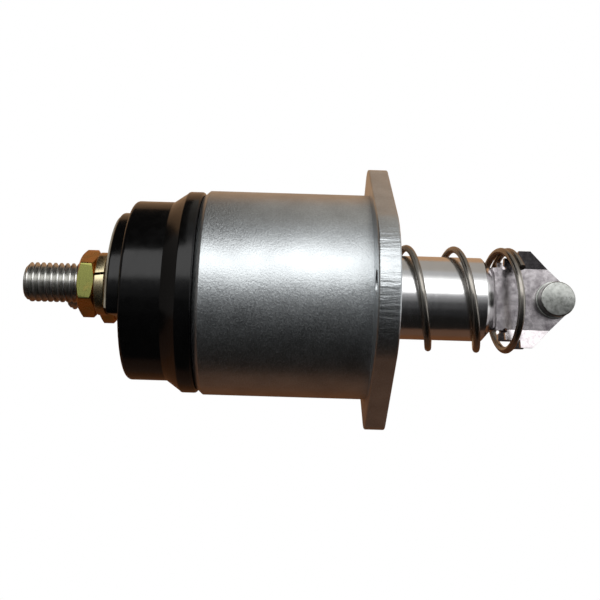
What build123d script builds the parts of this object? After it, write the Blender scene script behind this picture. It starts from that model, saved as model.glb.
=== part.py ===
from build123d import *
import math
import os

# Starter solenoid, in millimetres. Its long axis is X: the plunger comes out at +X and the
# terminals at -X. The origin is the centre of the flange's mounting face, and Z is up.

# Mounting flange, a rounded diamond at the open end of the case with a bolt hole in each ear
flange_thickness = 6.8
flange_side_margin = 4.4
ear_reach = 15.5
ear_radius = 26.0
crown_radius = 10.0
bolt_margin = 8.0
bolt_hole_radius = 4.3
flange_edge_chamfer = 0.5
spring_seat_depth = 1.0
spring_seat_clearance = 0.65

# Case, a deep tube in one piece with the flange, rolled in over the cap at its far end
case_wall = 3.2
case_length = 62.5
seat_wall = 2.5
lip_thickness = 2.0
lip_round = 1.9
lip_grip = 2.1

# Clearances between pieces
running_gap = 0.07
press_gap = 0.02
face_gap = 0.1
stop_gap = 0.3

# Plunger and its travel
plunger_radius = 14.15
plunger_reach = 34.9
plunger_stroke = 14.0
plunger_chamfer_long = 2.7
plunger_chamfer_deep = 3.0
plunger_tail_chamfer = 1.0
tenon_radius = 2.4
tenon_head_radius = 3.1
tenon_head_height = 1.2

# Guide tube, fixed core and core plate
guide_wall = 0.78
core_face_x = -34.0
core_plate_thickness = 4.0
core_spigot_radius = 10.0
gasket_thickness = 1.0
gasket_width = 5.3
spigot_thickness = 2.5

# Coil
bobbin_wall = 1.2
bobbin_flange = 1.5
bobbin_flange_lip = 0.8
pull_in_depth = 7.5
hold_in_depth = 6.0
lead_radius = 0.8
lead_inset = 3.7
lead_hole_radius = 2.0

# Moulded cap, each radius stepping in from the case
cap_rim_step = 0.5
cap_rim_width = 5.5
cap_rim_chamfer = 0.6
cap_cone_width = 4.6
cap_cone_depth = 3.7
cap_barrel_width = 13.2
cap_barrel_round = 1.5
cap_lip_gap = 0.2
cap_wall = 3.4
cap_end_wall = 5.9
boss_step = 4.2
boss_height = 4.4
boss_flat_z = -10.0
boss_chamfer = 0.9

# Terminals: two half-inch studs, each with a thin nut and a split lock washer
stud_inset = 9.75
thread_radius = 6.35
thread_pitch_radius = 5.72
battery_free_thread = 18.0
motor_free_thread = 12.0
stud_end_chamfer = 1.2
stud_head_radius = 7.2
stud_head_flat = 13.0
stud_head_thickness = 4.0
stud_hole_gap = 0.15
nut_across_flats = 19.05
nut_thickness = 5.4
nut_chamfer_angle = 30.0
lock_washer_radius = 10.1
lock_washer_thickness = 3.3
lock_washer_split = 0.9
lock_washer_slant = 12.0
battery_split_angle = 201.0
motor_split_angle = 60.0
insulator_step = 1.2
insulator_thickness = 0.7
insulator_flat_z = -8.2
insert_radius = 3.2
insert_stand = 1.5
insert_tap_radius = 2.1
insert_tap_depth = 5.0

# Moving contact set
contact_travel = 3.5
rod_radius = 3.0
rod_collar_radius = 5.0
rod_collar_width = 1.7
rod_end_chamfer = 0.4
rod_tail = 1.25
contact_spring_radius = 4.3
contact_wire_radius = 0.7
contact_spring_turns = 3
bush_flange_radius = 9.0
bush_flange_width = 1.3
bush_hub_radius = 5.0
contact_inset = 6.2
contact_thickness = 3.0
contact_edge_chamfer = 0.4
washer_radius = 7.8
washer_width = 1.2
clip_radius = 5.0
clip_width = 0.8
clip_groove_radius = 2.4
reset_spring_radius = 5.9
reset_wire_radius = 0.5
reset_spring_turns = 2.5

# Return spring round the plunger, its last turn lying loose on the clevis
spring_radius = 16.8
spring_wire_radius = 1.15
spring_first_crest = 6.4
spring_seat_slack = 0.4
spring_closed_turn = -1.1
spring_last_turn = 3.153
coil_corners = 16
corner_share = 0.47

# Clevis, a folded steel strip with flared upper and lower edges
strip_thickness = 2.0
clevis_gap = 8.0
strip_half_height = 10.5
inner_bend_radius = 0.8
flare_angle = 15.0
cheek_setback = 4.5
cheek_height_over_strip = 5.6
seat_height_over_strip = 3.1
seat_length = 4.8
shoulder_length = 3.9
corner_to_pin = 7.8
relief_radius = 0.7
tip_radius = 6.2

# Clevis pin, its washers and its retaining ring
pin_radius = 4.0
pin_head_radius = 5.75
pin_head_height = 4.8
pin_head_chamfer = 0.4
pin_washer_radius = 6.2
pin_washer_thickness = 0.8
pin_tail = 1.6
ring_thickness = 0.8
ring_radius = 6.3
ring_groove_radius = 3.2
ring_mouth = 5.4

# Places along X that several pieces share
case_end_x = -case_length
lip_inner_x = case_end_x + lip_thickness
spigot_end_x = lip_inner_x + face_gap
spigot_start_x = spigot_end_x + spigot_thickness
core_plate_left_x = spigot_start_x + gasket_thickness
core_plate_right_x = core_plate_left_x + core_plate_thickness
rim_start_x = case_end_x - face_gap
rim_end_x = rim_start_x - cap_rim_width
cone_end_x = rim_end_x - cap_cone_width
barrel_end_x = cone_end_x - cap_barrel_width
cavity_end_x = barrel_end_x + cap_end_wall
boss_face_x = barrel_end_x - boss_height
insulator_face_x = boss_face_x - insulator_thickness
nut_seat_x = insulator_face_x - lock_washer_thickness
nut_face_x = nut_seat_x - nut_thickness
contact_seat_x = cavity_end_x + stud_head_thickness
contact_left_x = contact_seat_x + stop_gap + contact_travel
contact_right_x = contact_left_x + contact_thickness
washer_left_x = contact_left_x - washer_width
clip_left_x = washer_left_x - face_gap - clip_width
plunger_tail_x = core_face_x + stop_gap + plunger_stroke
rod_tip_x = core_face_x + contact_travel
bobbin_right_x = -flange_thickness - stop_gap
bobbin_left_x = core_plate_right_x + stop_gap
cheek_start_x = plunger_reach + cheek_setback
shoulder_x = cheek_start_x + seat_length
corner_x = shoulder_x + shoulder_length
pin_x = corner_x + corner_to_pin
spring_pitch = (cheek_start_x - spring_seat_slack - spring_first_crest) / 2
cheek_half_height = strip_half_height + cheek_height_over_strip
seat_half_height = strip_half_height + seat_height_over_strip

# Radii that fits share, from the plunger outwards and then into the cap
guide_bore_radius = plunger_radius + running_gap
guide_radius = guide_bore_radius + guide_wall
bobbin_bore_radius = guide_radius + 2 * face_gap
bobbin_radius = bobbin_bore_radius + bobbin_wall
pull_in_bore_radius = bobbin_radius + face_gap
pull_in_radius = pull_in_bore_radius + pull_in_depth
hold_in_bore_radius = pull_in_radius + face_gap
hold_in_radius = hold_in_bore_radius + hold_in_depth
bobbin_flange_radius = hold_in_radius + bobbin_flange_lip
case_bore_radius = bobbin_flange_radius + stop_gap
case_radius = case_bore_radius + case_wall
seat_bore_radius = case_radius - seat_wall
lip_inner_radius = seat_bore_radius - lip_grip
cap_groove_radius = lip_inner_radius - cap_lip_gap
cap_cavity_radius = cap_groove_radius - cap_wall
cap_rim_radius = case_radius - cap_rim_step
cap_barrel_radius = cap_rim_radius - cap_cone_depth
boss_radius = cap_barrel_radius - boss_step
insulator_radius = boss_radius - insulator_step
contact_radius = cap_cavity_radius - contact_inset
lead_circle_radius = cap_cavity_radius - lead_inset
stud_offset = boss_radius - stud_inset
stud_hole_radius = thread_radius + stud_hole_gap
clevis_half_gap = clevis_gap / 2
clevis_half_width = clevis_half_gap + strip_thickness
flange_side_distance = case_radius + flange_side_margin
ear_centre = case_radius + ear_reach - ear_radius
bolt_offset = case_radius + bolt_margin
spring_seat_radius = spring_radius + spring_wire_radius + spring_seat_clearance
lead_places = {"switch": (0, -lead_circle_radius), "motor": (lead_circle_radius, 0)}


def turned(points):
    """Solid of revolution about X from (x, radius) points."""
    return revolve(Plane.XZ * make_face(Polyline(*points, close=True)), Axis.X)


def tube(x_low, x_high, inner_radius, outer_radius, y=0, z=0):
    """Plain ring or, with no inner radius, a disc, with its axis along X."""
    section = Circle(outer_radius)
    if inner_radius:
        section -= Circle(inner_radius)
    return extrude(Plane.YZ.offset(x_low) * Pos(y, z) * section, x_high - x_low)


def rings_at(solid, x, radius):
    """Circular edges of a turned solid at one place."""
    edges = solid.edges().filter_by(GeomType.CIRCLE)
    return [e for e in edges if abs(e.arc_center.X - x) < 0.01 and abs(e.radius - radius) < 0.01]


def turned_on_pin(points):
    """Solid of revolution about the clevis pin's axis from (y, radius) points."""
    section = make_face(Polyline(*[(pin_x + radius, y) for y, radius in points], close=True))
    return revolve(section, Axis((pin_x, 0, 0), (0, 1, 0)))


def bent_wire(points, wire_radius):
    """Round wire along points, each corner bent as widely as its two runs allow."""
    bends = []
    for before, corner, after in zip(points, points[1:], points[2:]):
        run_in = Vector(*corner) - Vector(*before)
        run_out = Vector(*after) - Vector(*corner)
        half_turn = math.radians(run_in.get_angle(run_out)) / 2
        bends.append(corner_share * min(run_in.length, run_out.length) / math.tan(half_turn))
    path = FilletPolyline(*points, radius=bends)
    return sweep((path ^ 0) * Circle(wire_radius), path=path)


def coiled(place_of_turn, first_turn, last_turn, radius, wire_radius):
    """Right-handed coil about X: turn 0 is on top, and it comes down the -Y side to +X."""
    corner_radius = radius / math.cos(math.pi / coil_corners)
    count = round((last_turn - first_turn) * coil_corners)
    points = []
    for i in range(count + 1):
        turn = first_turn + (last_turn - first_turn) * i / count
        y = -corner_radius * math.sin(2 * math.pi * turn)
        z = corner_radius * math.cos(2 * math.pi * turn)
        points.append((place_of_turn(turn), y, z))
    return bent_wire(points, wire_radius)


def coil_spring(x_low, x_high, radius, wire_radius, turns):
    """Round-wire spring of even pitch between two flat seats."""
    first_x = x_low + wire_radius
    pitch = (x_high - x_low - 2 * wire_radius) / turns
    return coiled(lambda turn: first_x + turn * pitch, 0, turns, radius, wire_radius)


# Case and flange

def flange_section():
    """Diamond of four straight sides, each tangent to an ear's arc, rounded above and below."""
    slope = math.acos((flange_side_distance - ear_radius) / ear_centre)
    tangent_y = ear_centre + ear_radius * math.cos(slope)
    tangent_z = ear_radius * math.sin(slope)
    crown_z = flange_side_distance / math.sin(slope)
    corners = [
        (tangent_y, tangent_z), (0, crown_z), (-tangent_y, tangent_z),
        (-tangent_y, -tangent_z), (0, -crown_z), (tangent_y, -tangent_z),
    ]
    section = make_face(Polyline(*corners, close=True))
    crowns = [v for v in section.vertices() if abs(v.X) < 0.01]
    section = fillet(crowns, crown_radius)
    for side in (-1, 1):
        section += Pos(side * ear_centre, 0) * Circle(ear_radius)
    return section


def case_shell():
    plate = extrude(Plane.YZ.offset(-flange_thickness) * flange_section(), flange_thickness)
    rim = plate.edges().group_by(Axis.X)[0] + plate.edges().group_by(Axis.X)[-1]
    plate = chamfer(rim, flange_edge_chamfer)
    shell = turned([
        (0, 0), (0, case_radius), (case_end_x, case_radius), (case_end_x, lip_inner_radius),
        (lip_inner_x, lip_inner_radius), (lip_inner_x, seat_bore_radius),
        (core_plate_right_x, seat_bore_radius), (core_plate_right_x, case_bore_radius),
        (-flange_thickness, case_bore_radius), (-flange_thickness, 0),
    ])
    shell = fillet(rings_at(shell, case_end_x, case_radius), lip_round)
    body = plate + shell - tube(-flange_thickness, 0, 0, guide_radius + press_gap)
    body -= tube(-spring_seat_depth, 0, 0, spring_seat_radius)
    for side in (-1, 1):
        body -= tube(-flange_thickness, 0, 0, bolt_hole_radius, y=side * bolt_offset)
    return body


# Magnet: guide tube, fixed core, core plate and coil

def guide_tube():
    return tube(core_plate_right_x + face_gap, -spring_seat_depth, guide_bore_radius, guide_radius)


def fixed_core():
    body = turned([
        (core_plate_left_x, 0), (core_plate_left_x, core_spigot_radius - press_gap),
        (core_plate_right_x, core_spigot_radius - press_gap),
        (core_plate_right_x, guide_bore_radius - press_gap),
        (core_face_x, guide_bore_radius - press_gap), (core_face_x, 0),
    ])
    return body - tube(core_plate_left_x, core_face_x, 0, rod_radius + running_gap)


def core_plate():
    plate = tube(core_plate_left_x, core_plate_right_x, core_spigot_radius, seat_bore_radius - press_gap)
    for y, z in lead_places.values():
        plate -= tube(core_plate_left_x, core_plate_right_x, 0, lead_hole_radius, y=y, z=z)
    return plate


def coil_bobbin():
    body = turned([
        (bobbin_right_x, bobbin_bore_radius), (bobbin_right_x, bobbin_flange_radius),
        (bobbin_right_x - bobbin_flange, bobbin_flange_radius),
        (bobbin_right_x - bobbin_flange, bobbin_radius),
        (bobbin_left_x + bobbin_flange, bobbin_radius),
        (bobbin_left_x + bobbin_flange, bobbin_flange_radius),
        (bobbin_left_x, bobbin_flange_radius), (bobbin_left_x, bobbin_bore_radius),
    ])
    for y, z in lead_places.values():
        body -= tube(bobbin_left_x, bobbin_left_x + bobbin_flange, 0, lead_radius + face_gap, y=y, z=z)
    return body


def winding(inner_radius, outer_radius):
    left = bobbin_left_x + bobbin_flange + face_gap
    right = bobbin_right_x - bobbin_flange - face_gap
    return tube(left, right, inner_radius, outer_radius)


def coil_lead(name, x_end):
    y, z = lead_places[name]
    return tube(x_end, bobbin_left_x + bobbin_flange + face_gap, 0, lead_radius, y=y, z=z)


# Moulded cap, its gasket and the terminals

def cap_gasket():
    outer = seat_bore_radius - face_gap
    return tube(spigot_start_x, core_plate_left_x, outer - gasket_width, outer)


def terminal_cap():
    body = turned([
        (spigot_start_x, cap_cavity_radius), (spigot_start_x, seat_bore_radius - face_gap),
        (spigot_end_x, seat_bore_radius - face_gap), (spigot_end_x, cap_groove_radius),
        (rim_start_x, cap_groove_radius), (rim_start_x, cap_rim_radius),
        (rim_end_x, cap_rim_radius), (cone_end_x, cap_barrel_radius),
        (barrel_end_x, cap_barrel_radius), (barrel_end_x, 0),
        (cavity_end_x, 0), (cavity_end_x, cap_cavity_radius),
    ])
    body = fillet(rings_at(body, barrel_end_x, cap_barrel_radius), cap_barrel_round)
    rims = rings_at(body, rim_start_x, cap_rim_radius) + rings_at(body, rim_end_x, cap_rim_radius)
    body = chamfer(rims, cap_rim_chamfer)
    boss = extrude(Plane.YZ.offset(boss_face_x) * cut_disc(boss_radius, boss_flat_z), boss_height)
    front = [e for e in boss.edges() if abs(e.center().X - boss_face_x) < 0.01]
    body += chamfer(front, boss_chamfer)
    for side in (-1, 1):
        body -= tube(boss_face_x, cavity_end_x, 0, stud_hole_radius, y=side * stud_offset)
    y, z = lead_places["switch"]
    return body - tube(barrel_end_x, cavity_end_x, 0, insert_radius, y=y, z=z)


def cut_disc(radius, flat_z):
    """Disc with its lower part cut off straight."""
    keep = Pos(0, flat_z + radius) * Rectangle(2 * radius, 2 * radius)
    return Circle(radius) & keep


def coil_terminal():
    """Brass insert moulded in the cap, tapped from outside for the coil's own screw."""
    y, z = lead_places["switch"]
    body = tube(barrel_end_x, cavity_end_x + insert_stand, 0, insert_radius, y=y, z=z)
    return body - tube(barrel_end_x, barrel_end_x + insert_tap_depth, 0, insert_tap_radius, y=y, z=z)


def terminal_insulator():
    plate = extrude(Plane.YZ.offset(insulator_face_x) * cut_disc(insulator_radius, insulator_flat_z),
                    insulator_thickness)
    for side in (-1, 1):
        plate -= tube(insulator_face_x, boss_face_x, 0, stud_hole_radius, y=side * stud_offset)
    return plate


def terminal_stud(side, free_thread):
    """Stud with a flat-sided contact head. Inside the cap and the nut it is drawn at the pitch
    radius, the rolled blank's own size, and past the nut at the thread's outer radius."""
    end_x = nut_face_x - free_thread
    shank = turned([
        (cavity_end_x, 0), (cavity_end_x, thread_pitch_radius), (nut_face_x, thread_pitch_radius),
        (nut_face_x, thread_radius), (end_x + stud_end_chamfer, thread_radius),
        (end_x, thread_radius - stud_end_chamfer), (end_x, 0),
    ])
    outline = Circle(stud_head_radius) & Rectangle(2 * stud_head_radius, stud_head_flat)
    head = extrude(Plane.YZ.offset(cavity_end_x) * outline, stud_head_thickness)
    return Pos(0, side * stud_offset, 0) * (shank + head)


def terminal_nut(side):
    """Thin hexagon nut, chamfered on both faces, with a flat facing along Y."""
    corner = nut_across_flats / math.sqrt(3)
    drop = (corner - nut_across_flats / 2) * math.tan(math.radians(nut_chamfer_angle))
    hexagon = Rotation(0, 0, 30) * RegularPolygon(corner, 6)
    prism = extrude(Plane.YZ.offset(nut_face_x) * hexagon, nut_thickness)
    rounding = turned([
        (nut_face_x, 0), (nut_face_x, nut_across_flats / 2), (nut_face_x + drop, corner),
        (nut_seat_x - drop, corner), (nut_seat_x, nut_across_flats / 2), (nut_seat_x, 0),
    ])
    nut = prism & rounding
    nut -= tube(nut_face_x, nut_seat_x, 0, thread_pitch_radius + press_gap)
    return Pos(0, side * stud_offset, 0) * nut


def lock_washer(side, split_angle):
    """Split ring whose cut runs slantwise through it."""
    ring = tube(nut_seat_x, insulator_face_x, stud_hole_radius, lock_washer_radius)
    middle_x = (nut_seat_x + insulator_face_x) / 2
    blade = Box(3 * lock_washer_thickness, 2 * lock_washer_radius, lock_washer_split)
    blade = Pos(middle_x, lock_washer_radius, 0) * Rotation(0, lock_washer_slant, 0) * blade
    ring -= Rotation(split_angle, 0, 0) * blade
    return Pos(0, side * stud_offset, 0) * ring


# Moving contact set, pushed by the plunger's inner end

def contact_rod():
    collar_right_x = core_plate_left_x - stop_gap
    collar_left_x = collar_right_x - rod_collar_width
    tail_x = clip_left_x - rod_tail
    neck = rod_radius - rod_end_chamfer
    return turned([
        (rod_tip_x, 0), (rod_tip_x, neck), (rod_tip_x - rod_end_chamfer, rod_radius),
        (collar_right_x, rod_radius), (collar_right_x, rod_collar_radius),
        (collar_left_x, rod_collar_radius), (collar_left_x, rod_radius),
        (clip_left_x + clip_width, rod_radius), (clip_left_x + clip_width, clip_groove_radius),
        (clip_left_x, clip_groove_radius), (clip_left_x, rod_radius),
        (tail_x + rod_end_chamfer, rod_radius), (tail_x, neck), (tail_x, 0),
    ])


def contact_spring():
    collar_left_x = core_plate_left_x - stop_gap - rod_collar_width
    seat_x = contact_right_x + bush_flange_width
    return coil_spring(seat_x, collar_left_x, contact_spring_radius, contact_wire_radius,
                       contact_spring_turns)


def contact_bush():
    flange = tube(contact_right_x, contact_right_x + bush_flange_width,
                  rod_radius + press_gap, bush_flange_radius)
    return flange + tube(contact_left_x, contact_right_x, rod_radius + press_gap, bush_hub_radius)


def contact_disc():
    disc = tube(contact_left_x, contact_right_x, bush_hub_radius + press_gap, contact_radius)
    rims = rings_at(disc, contact_left_x, contact_radius) + rings_at(disc, contact_right_x, contact_radius)
    return chamfer(rims, contact_edge_chamfer)


def contact_washer():
    return tube(washer_left_x, contact_left_x, rod_radius + press_gap, washer_radius)


def contact_clip():
    return open_ring(clip_left_x, clip_width, clip_groove_radius + press_gap, clip_radius)


def open_ring(x_low, width, inner_radius, outer_radius):
    """Retaining ring along X, open downwards just wider than the groove it snaps on."""
    ring = tube(x_low, x_low + width, inner_radius, outer_radius)
    mouth = Box(2 * width, 1.8 * inner_radius, 2 * outer_radius)
    return ring - Pos(x_low + width / 2, 0, -outer_radius) * mouth


def contact_reset_spring():
    return coil_spring(cavity_end_x, washer_left_x - face_gap, reset_spring_radius, reset_wire_radius,
                       reset_spring_turns)


# Plunger, return spring and clevis

def plunger():
    tenon_end_x = plunger_reach + strip_thickness
    return turned([
        (plunger_tail_x, 0), (plunger_tail_x, plunger_radius - plunger_tail_chamfer),
        (plunger_tail_x + plunger_tail_chamfer, plunger_radius),
        (plunger_reach - plunger_chamfer_long, plunger_radius),
        (plunger_reach, plunger_radius - plunger_chamfer_deep), (plunger_reach, tenon_radius),
        (tenon_end_x, tenon_radius), (tenon_end_x, tenon_head_radius),
        (tenon_end_x + tenon_head_height / 2, tenon_head_radius),
        (tenon_end_x + tenon_head_height, tenon_radius), (tenon_end_x + tenon_head_height, 0),
    ])


def spring_stations():
    """Turns counted from the first crest, each with its distance from the flange."""
    rest_x = face_gap + spring_wire_radius - spring_seat_depth
    third_x = spring_first_crest + 2 * spring_pitch
    return [
        (spring_closed_turn, rest_x), (-0.75, rest_x), (-0.5, rest_x + 0.3), (-0.25, rest_x + 2.2),
        (0, spring_first_crest), (0.25, spring_first_crest + 0.25 * spring_pitch),
        (1.75, third_x - 0.25 * spring_pitch),
        (2.0, third_x), (2.25, third_x + 3.6), (2.5, third_x + 1.9), (2.75, third_x - 0.1),
        (3.0, third_x + 2.5), (spring_last_turn, third_x + 4.6),
    ]


def advance(turn):
    """Smooth curve through the stations."""
    places = spring_stations()
    last = len(places) - 1
    slopes = []
    for i in range(len(places)):
        low, high = places[max(i - 1, 0)], places[min(i + 1, last)]
        slopes.append((high[1] - low[1]) / (high[0] - low[0]))
    i = next((k for k in range(last) if turn <= places[k + 1][0]), last - 1)
    (t0, x0), (t1, x1) = places[i], places[i + 1]
    span = t1 - t0
    s = (turn - t0) / span
    return ((2 * s**3 - 3 * s**2 + 1) * x0 + (s**3 - 2 * s**2 + s) * span * slopes[i]
            + (3 * s**2 - 2 * s**3) * x1 + (s**3 - s**2) * span * slopes[i + 1])


def return_spring():
    return coiled(advance, spring_closed_turn, spring_last_turn, spring_radius, spring_wire_radius)


def clevis_bracket():
    """Strip bent to a U, its cheeks cut to a taper and flared outwards above and below."""
    fold = math.radians(flare_angle)
    reach = 2 * cheek_half_height
    tip_x = pin_x + tip_radius
    outer_line = strip_half_height - strip_thickness * math.tan(fold / 2)
    flare_in = clevis_half_gap + reach * math.sin(fold)
    flare_z = strip_half_height + reach * math.cos(fold)
    flare_out = flare_in + strip_thickness * math.cos(fold)
    half = [
        (clevis_half_gap, 0), (clevis_half_gap, strip_half_height), (flare_in, flare_z),
        (flare_out, flare_z - strip_thickness * math.sin(fold)), (clevis_half_width, outer_line),
        (clevis_half_width, 0),
    ]
    quarter = make_face(Polyline(*half, close=True))
    sheet = quarter + mirror(quarter, Plane.XZ)
    sheet = sheet + mirror(sheet, Plane.YZ)
    cheeks = extrude(Plane.YZ.offset(cheek_start_x) * sheet, tip_x - cheek_start_x)
    cheeks &= extrude(Plane.XZ * cheek_outline(), clevis_half_width + reach, both=True)

    length = cheek_start_x + relief_radius - plunger_reach
    middle_x = plunger_reach + length / 2
    block = Pos(middle_x, 0, 0) * Box(length, 2 * clevis_half_width, 2 * strip_half_height)
    corners = block.edges().filter_by(Axis.Z).group_by(Axis.X)[0]
    block = fillet(corners, inner_bend_radius + strip_thickness)
    hollow = Pos(middle_x + strip_thickness, 0, 0) * Box(length, clevis_gap, 2 * strip_half_height)
    corners = hollow.edges().filter_by(Axis.Z).group_by(Axis.X)[0]
    block -= fillet(corners, inner_bend_radius)

    bracket = block + cheeks
    for z in (-strip_half_height, strip_half_height):
        bracket -= Pos(cheek_start_x, 0, z) * Rotation(90, 0, 0) * Cylinder(relief_radius, 4 * clevis_half_width)
    bracket -= tube(plunger_reach, plunger_reach + strip_thickness, 0, tenon_radius + press_gap)
    pin_hole = Rotation(90, 0, 0) * Cylinder(pin_radius + running_gap, 4 * clevis_half_width)
    return bracket - Pos(pin_x, 0, 0) * pin_hole


def cheek_outline():
    """Side view of a cheek: a seat for the spring, a shoulder, and a taper to a round tip."""
    to_corner = math.hypot(pin_x - corner_x, cheek_half_height)
    lean = math.atan2(cheek_half_height, corner_x - pin_x)
    touch = lean - math.acos(tip_radius / to_corner)
    tangent = (pin_x + tip_radius * math.cos(touch), tip_radius * math.sin(touch))
    upper = [
        (cheek_start_x, seat_half_height), (shoulder_x, seat_half_height),
        (shoulder_x, cheek_half_height), (corner_x, cheek_half_height), tangent,
    ]
    lower = [(x, -z) for x, z in reversed(upper)]
    outline = make_face(Polyline(*upper, *lower, close=True))
    return outline + Pos(pin_x, 0) * Circle(tip_radius)


# Clevis pin and what keeps it

def washer_on_pin(side):
    near = clevis_half_width + face_gap
    far = near + pin_washer_thickness
    bore = pin_radius + running_gap
    return turned_on_pin([
        (side * near, bore), (side * far, bore), (side * far, pin_washer_radius),
        (side * near, pin_washer_radius),
    ])


def clevis_pin():
    head_seat_y = -(clevis_half_width + 2 * face_gap + pin_washer_thickness)
    head_face_y = head_seat_y - pin_head_height
    groove_y = clevis_half_width + 2 * face_gap + pin_washer_thickness
    groove_end_y = groove_y + ring_thickness + face_gap
    end_y = groove_end_y + pin_tail
    rim = pin_head_radius - pin_head_chamfer
    return turned_on_pin([
        (head_face_y, 0), (head_face_y, rim), (head_face_y + pin_head_chamfer, pin_head_radius),
        (head_seat_y, pin_head_radius), (head_seat_y, pin_radius), (groove_y, pin_radius),
        (groove_y, ring_groove_radius), (groove_end_y, ring_groove_radius), (groove_end_y, pin_radius),
        (end_y - pin_head_chamfer, pin_radius), (end_y, pin_radius - pin_head_chamfer), (end_y, 0),
    ])


def pin_ring():
    start_y = clevis_half_width + 2 * face_gap + pin_washer_thickness + face_gap / 2
    end_y = start_y + ring_thickness
    bore = ring_groove_radius + press_gap
    ring = turned_on_pin([(start_y, bore), (end_y, bore), (end_y, ring_radius), (start_y, ring_radius)])
    mouth = Box(ring_mouth, 4 * ring_thickness, 2 * ring_radius)
    return ring - Pos(pin_x, start_y, -ring_radius) * mouth


pieces = {
    "case_shell": case_shell(),
    "terminal_cap": terminal_cap(),
    "cap_gasket": cap_gasket(),
    "core_plate": core_plate(),
    "fixed_core": fixed_core(),
    "guide_tube": guide_tube(),
    "coil_bobbin": coil_bobbin(),
    "pull_in_winding": winding(pull_in_bore_radius, pull_in_radius),
    "hold_in_winding": winding(hold_in_bore_radius, hold_in_radius),
    "switch_lead": coil_lead("switch", cavity_end_x + insert_stand),
    "motor_lead": coil_lead("motor", contact_seat_x),
    "coil_terminal": coil_terminal(),
    "terminal_insulator": terminal_insulator(),
    "battery_stud": terminal_stud(-1, battery_free_thread),
    "motor_stud": terminal_stud(1, motor_free_thread),
    "battery_nut": terminal_nut(-1),
    "motor_nut": terminal_nut(1),
    "battery_lock_washer": lock_washer(-1, battery_split_angle),
    "motor_lock_washer": lock_washer(1, motor_split_angle),
    "contact_rod": contact_rod(),
    "contact_spring": contact_spring(),
    "contact_bush": contact_bush(),
    "contact_disc": contact_disc(),
    "contact_washer": contact_washer(),
    "contact_clip": contact_clip(),
    "contact_reset_spring": contact_reset_spring(),
    "plunger": plunger(),
    "return_spring": return_spring(),
    "clevis_bracket": clevis_bracket(),
    "clevis_pin": clevis_pin(),
    "head_washer": washer_on_pin(-1),
    "ring_washer": washer_on_pin(1),
    "pin_ring": pin_ring(),
}

os.makedirs("parts", exist_ok=True)
for name, piece in pieces.items():
    export_step(piece, f"parts/{name}.step")
    print(name, round(piece.volume, 1))
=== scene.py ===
import math
import bpy
import bmesh
from mathutils import Euler, Matrix, Vector


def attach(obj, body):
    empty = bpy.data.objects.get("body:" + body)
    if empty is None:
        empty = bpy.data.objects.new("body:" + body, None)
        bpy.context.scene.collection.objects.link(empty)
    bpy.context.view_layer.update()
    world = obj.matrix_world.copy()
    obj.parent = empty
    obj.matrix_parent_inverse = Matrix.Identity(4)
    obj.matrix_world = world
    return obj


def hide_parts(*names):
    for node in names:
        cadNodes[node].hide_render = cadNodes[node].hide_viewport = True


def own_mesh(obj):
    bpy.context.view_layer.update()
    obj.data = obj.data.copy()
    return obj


# Starter solenoid. Its long axis is X, Z is up, and sizes in the dictionaries are in millimetres.

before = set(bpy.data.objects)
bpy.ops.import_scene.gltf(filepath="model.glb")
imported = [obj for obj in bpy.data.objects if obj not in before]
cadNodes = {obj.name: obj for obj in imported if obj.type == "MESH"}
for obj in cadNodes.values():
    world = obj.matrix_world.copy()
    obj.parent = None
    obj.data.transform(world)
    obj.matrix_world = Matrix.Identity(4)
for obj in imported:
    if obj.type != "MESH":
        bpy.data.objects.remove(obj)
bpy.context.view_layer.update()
mm = 0.001
past = 1  # how far a tool reaches past the face that it cuts or joins
mergeWithin = 0.002  # points nearer than this become one
# steps round a turned piece, by its size
facets = {"body": 224, "plate": 192, "bore": 128, "stud": 96, "hole": 64, "insert": 48}
print("frame loaded", len(cadNodes), "nodes")


# Selection and small helpers

def clearSelection():
    active = bpy.context.view_layer.objects.active
    if active and active.mode != "OBJECT":
        bpy.ops.object.mode_set(mode="OBJECT")
    bpy.ops.object.select_all(action="DESELECT")


def pick(piece):
    clearSelection()
    bpy.context.view_layer.objects.active = piece
    piece.select_set(True)


def settle(piece, name=None):
    # puts the place of a new primitive into its mesh
    pick(piece)
    bpy.ops.object.transform_apply(location=True, rotation=True, scale=True)
    if name:
        piece.name = name
        piece.data.name = name
    return piece


def cleanMesh(piece):
    pick(piece)
    bpy.ops.object.mode_set(mode="EDIT")
    bpy.ops.mesh.select_all(action="SELECT")
    bpy.ops.mesh.remove_doubles(threshold=mergeWithin * mm)
    bpy.ops.mesh.normals_make_consistent(inside=False)
    bpy.ops.object.mode_set(mode="OBJECT")


def applyModifiers(piece):
    pick(piece)
    for modifier in list(piece.modifiers):
        bpy.ops.object.modifier_apply(modifier=modifier.name)


def combine(piece, tool, operation):
    # an exact boolean with another closed mesh, which is used up
    change = piece.modifiers.new("combine", "BOOLEAN")
    change.solver = "EXACT"
    change.operation = operation
    change.object = tool
    applyModifiers(piece)
    bpy.data.objects.remove(tool)


def roundEdges(piece, width, segments=2, angle=30):
    edge = piece.modifiers.new("edge", "BEVEL")
    edge.width = width * mm
    edge.segments = segments
    edge.limit_method = "ANGLE"
    edge.angle_limit = math.radians(angle)
    edge.use_clamp_overlap = True
    applyModifiers(piece)


def smoothByAngle(piece, angle=30):
    pick(piece)
    bpy.ops.object.shade_smooth_by_angle(angle=math.radians(angle))


def arcPoints(centreX, centreRadius, radius, startAngle, endAngle, steps=4):
    # points of a rounded corner in an (x, radius) profile
    points = []
    for i in range(steps + 1):
        turn = math.radians(startAngle + (endAngle - startAngle) * i / steps)
        points.append((centreX + radius * math.cos(turn), centreRadius + radius * math.sin(turn)))
    return points


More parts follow.
